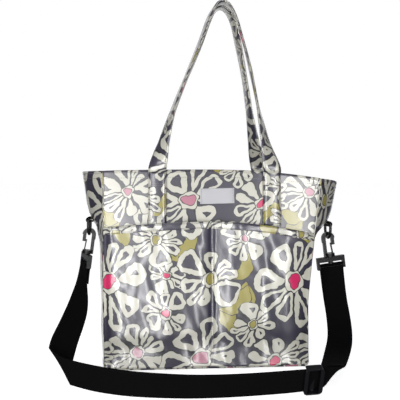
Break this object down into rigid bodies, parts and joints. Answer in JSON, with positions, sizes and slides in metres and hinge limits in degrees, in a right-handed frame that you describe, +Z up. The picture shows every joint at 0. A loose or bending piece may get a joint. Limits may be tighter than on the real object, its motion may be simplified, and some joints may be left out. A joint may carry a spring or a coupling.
{
  "type": "diaper bag",
  "caption": "Soft tote for baby gear: boxy printed shell, deep open top, front pocket, long shoulder-length handles and a clip-on webbing strap.",
  "frame": {"origin": "on the floor under the middle of the bag's base", "axes": "+X to the right seen from the front, +Y to the back, +Z up"},
  "size_m": [0.4609, 0.2612, 0.5675],
  "materials": {
    "printed_fabric": "laminated cotton with a large printed floral pattern, satin gloss",
    "lining_fabric": "plain woven lining, matte",
    "black_webbing": "ribbed polypropylene webbing, matte",
    "black_plastic": "moulded acetal, satin",
    "label_fabric": "smooth woven satin, blank",
    "board_plastic": "stiff base board, matte",
    "snap_steel": "plated magnetic snap"
  },
  "bodies": {
    "root": {"front_panel": "printed_fabric", "back_panel": "printed_fabric", "left_gusset": "printed_fabric", "right_gusset": "printed_fabric", "base_panel": "printed_fabric", "front_pocket": "printed_fabric", "pocket_hem": "printed_fabric", "pocket_divider": "printed_fabric", "front_handle_left_end": "printed_fabric", "front_handle_right_end": "printed_fabric", "back_handle_left_end": "printed_fabric", "back_handle_right_end": "printed_fabric", "lining": "lining_fabric", "rim_facing": "lining_fabric", "slip_pocket": "lining_fabric", "slip_elastic": "lining_fabric", "left_ring_tab": "black_webbing", "right_ring_tab": "black_webbing", "label": "label_fabric", "base_board": "board_plastic", "snap_front": "snap_steel", "snap_back": "snap_steel"},
    "front_handle": {"front_handle": "printed_fabric"},
    "back_handle": {"back_handle": "printed_fabric"},
    "left_ring": {"left_d_ring": "black_plastic"},
    "right_ring": {"right_d_ring": "black_plastic"},
    "shoulder_strap": {"strap_webbing": "black_webbing", "strap_return": "black_webbing", "strap_left_loop": "black_webbing", "strap_right_loop": "black_webbing", "left_hook_frame": "black_plastic", "right_hook_frame": "black_plastic"},
    "left_hook": {"left_hook": "black_plastic"},
    "right_hook": {"right_hook": "black_plastic"},
    "left_gate": {"left_gate": "black_plastic"},
    "right_gate": {"right_gate": "black_plastic"},
    "slider": {"slider": "black_plastic"}
  },
  "joints": [
    {"name": "front_handle_swing", "type": "hinge", "parent": "root", "child": "front_handle", "pos_m": [0.0075, -0.0635, 0.299], "axis": [1, 0, 0], "range_deg": [0, 140]},
    {"name": "back_handle_swing", "type": "hinge", "parent": "root", "child": "back_handle", "pos_m": [0.0075, 0.0635, 0.299], "axis": [-1, 0, 0], "range_deg": [0, 140]},
    {"name": "left_ring_tilt", "type": "hinge", "parent": "root", "child": "left_ring", "pos_m": [-0.1885, 0, 0.221], "axis": [0, 1, 0], "range_deg": [-3, 3]},
    {"name": "right_ring_tilt", "type": "hinge", "parent": "root", "child": "right_ring", "pos_m": [0.199, 0, 0.212], "axis": [0, 1, 0], "range_deg": [-3, 3]},
    {"name": "strap_swing", "type": "hinge", "parent": "root", "child": "shoulder_strap", "pos_m": [-0.1885, 0, 0.213], "axis": [-0.9997, 0, 0.0232], "range_deg": [0, 65]},
    {"name": "left_hook_swivel", "type": "hinge", "parent": "shoulder_strap", "child": "left_hook", "pos_m": [-0.1885, 0, 0.198], "axis": [0.1219, 0, 0.9925], "range_deg": [-7, 7]},
    {"name": "right_hook_swivel", "type": "hinge", "parent": "shoulder_strap", "child": "right_hook", "pos_m": [0.199, 0, 0.189], "axis": [-0.1219, 0, 0.9925], "range_deg": [-7, 7]},
    {"name": "left_gate_press", "type": "hinge", "parent": "left_hook", "child": "left_gate", "pos_m": [-0.1967, 0, 0.1714], "axis": [0, 1, 0], "range_deg": [0, 18], "stiffness_Nm_per_rad": 0.002, "springref_deg": -17.19},
    {"name": "right_gate_press", "type": "hinge", "parent": "right_hook", "child": "right_gate", "pos_m": [0.2072, 0, 0.1624], "axis": [0, -1, 0], "range_deg": [0, 18], "stiffness_Nm_per_rad": 0.002, "springref_deg": -17.19},
    {"name": "slider_slide", "type": "slide", "parent": "shoulder_strap", "child": "slider", "axis": [-0.9979, -0.0565, -0.0301], "range_m": [0, 0.068]}
  ]
}
